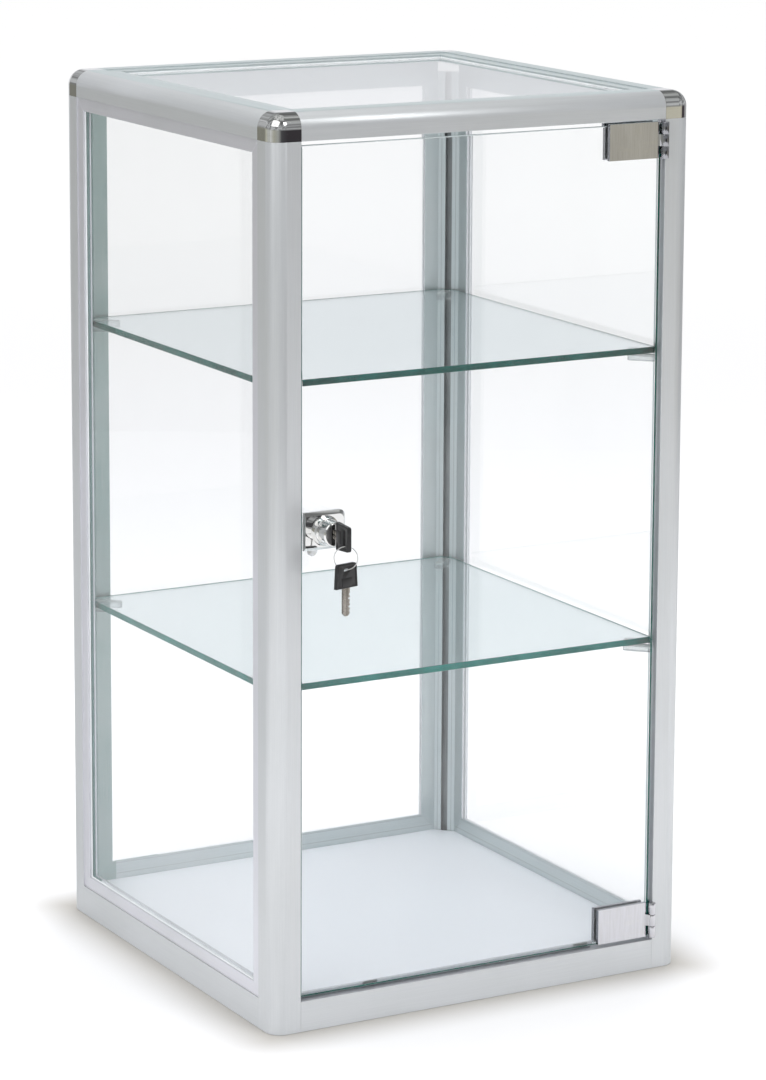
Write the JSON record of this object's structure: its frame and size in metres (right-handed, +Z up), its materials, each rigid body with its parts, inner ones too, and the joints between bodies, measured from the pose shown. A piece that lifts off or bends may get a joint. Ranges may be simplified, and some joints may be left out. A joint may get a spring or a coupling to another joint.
{
  "type": "countertop glass display case",
  "caption": "Tall square countertop display case with glass walls in a round-edged metal frame, height-adjustable glass shelves and a lockable glass door on clamp hinges.",
  "frame": {"origin": "middle of the part's box at floor level; the key stands in front, so the frame's own centre lies about 19 mm behind the origin", "axes": "+Z up, the door faces -Y, the hinges are on the +X side and the lock on the -X side"},
  "size_m": [0.356, 0.3944, 0.686],
  "materials": {
    "frame_aluminium": "satin anodised",
    "polished_chrome": "polished",
    "clear_glass": "clear float glass with green edges",
    "gasket_rubber": "matte",
    "clear_plastic": "soft translucent",
    "black_plastic": "fine moulded",
    "white_laminate": "white laminate",
    "zinc_steel": "bright zinc plated",
    "key_metal": "nickel plated, worn"
  },
  "bodies": {
    "case": {"front_left_post": "frame_aluminium", "front_right_post": "frame_aluminium", "rear_left_post": "frame_aluminium", "rear_right_post": "frame_aluminium", "front_top_rail": "frame_aluminium", "rear_top_rail": "frame_aluminium", "left_top_rail": "frame_aluminium", "right_top_rail": "frame_aluminium", "front_bottom_rail": "frame_aluminium", "rear_bottom_rail": "frame_aluminium", "left_bottom_rail": "frame_aluminium", "right_bottom_rail": "frame_aluminium", "front_left_cap": "polished_chrome", "front_right_cap": "polished_chrome", "rear_left_cap": "polished_chrome", "rear_right_cap": "polished_chrome", "foot_connectors": "black_plastic", "base_panel": "white_laminate", "base_screws": "zinc_steel", "left_glass": "clear_glass", "right_glass": "clear_glass", "rear_glass": "clear_glass", "top_glass": "clear_glass", "left_gasket": "gasket_rubber", "right_gasket": "gasket_rubber", "rear_gasket": "gasket_rubber", "top_gasket": "gasket_rubber", "door_bumpers": "clear_plastic", "upper_hinge_leaf": "polished_chrome", "lower_hinge_leaf": "polished_chrome", "hinge_pins": "zinc_steel", "hinge_leaf_screws": "zinc_steel"},
    "upper_shelf_set": {"upper_shelf": "clear_glass", "upper_shelf_clips": "frame_aluminium", "upper_clip_pads": "clear_plastic", "upper_clip_nuts": "zinc_steel"},
    "lower_shelf_set": {"lower_shelf": "clear_glass", "lower_shelf_clips": "frame_aluminium", "lower_clip_pads": "clear_plastic", "lower_clip_nuts": "zinc_steel"},
    "door": {"door_glass": "clear_glass", "upper_hinge_plate": "polished_chrome", "lower_hinge_plate": "polished_chrome", "upper_hinge_back": "polished_chrome", "lower_hinge_back": "polished_chrome", "hinge_pads": "gasket_rubber", "hinge_clamp_screws": "zinc_steel", "lock_plate": "polished_chrome", "lock_body": "polished_chrome", "lock_pads": "gasket_rubber", "lock_nut": "zinc_steel"},
    "lock_cylinder": {"lock_plug": "polished_chrome", "lock_cam": "zinc_steel", "cam_screw": "zinc_steel"},
    "key": {"key_blade": "key_metal", "key_head": "black_plastic"},
    "ring": {"key_ring": "zinc_steel"},
    "spare_key": {"spare_key_blade": "key_metal", "spare_key_head": "black_plastic"}
  },
  "joints": [
    {"name": "door_swing", "type": "hinge", "parent": "case", "child": "door", "pos_m": [0.1523, -0.16185, 0], "axis": [0, 0, 1], "range_deg": [0, 170]},
    {"name": "lock_turn", "type": "hinge", "parent": "door", "child": "lock_cylinder", "pos_m": [-0.1355, -0.17, 0.38], "axis": [0, 1, 0], "range_deg": [0, 90]},
    {"name": "key_withdraw", "type": "slide", "parent": "lock_cylinder", "child": "key", "axis": [0, -1, 0], "range_m": [0, 0.02]},
    {"name": "key_ring_swing", "type": "hinge", "parent": "key", "child": "ring", "pos_m": [-0.1355, -0.19175, 0.3744], "axis": [0.8829, -0.4695, 0], "range_deg": [-20, 20]},
    {"name": "spare_key_swing", "type": "hinge", "parent": "ring", "child": "spare_key", "pos_m": [-0.1355, -0.19175, 0.3572], "axis": [0.8829, -0.4695, 0], "range_deg": [-20, 20]},
    {"name": "upper_shelf_height", "type": "slide", "parent": "case", "child": "upper_shelf_set", "axis": [0, 0, 1], "range_m": [-0.085, 0.12]},
    {"name": "lower_shelf_height", "type": "slide", "parent": "case", "child": "lower_shelf_set", "axis": [0, 0, 1], "range_m": [-0.15, 0.08]}
  ]
}
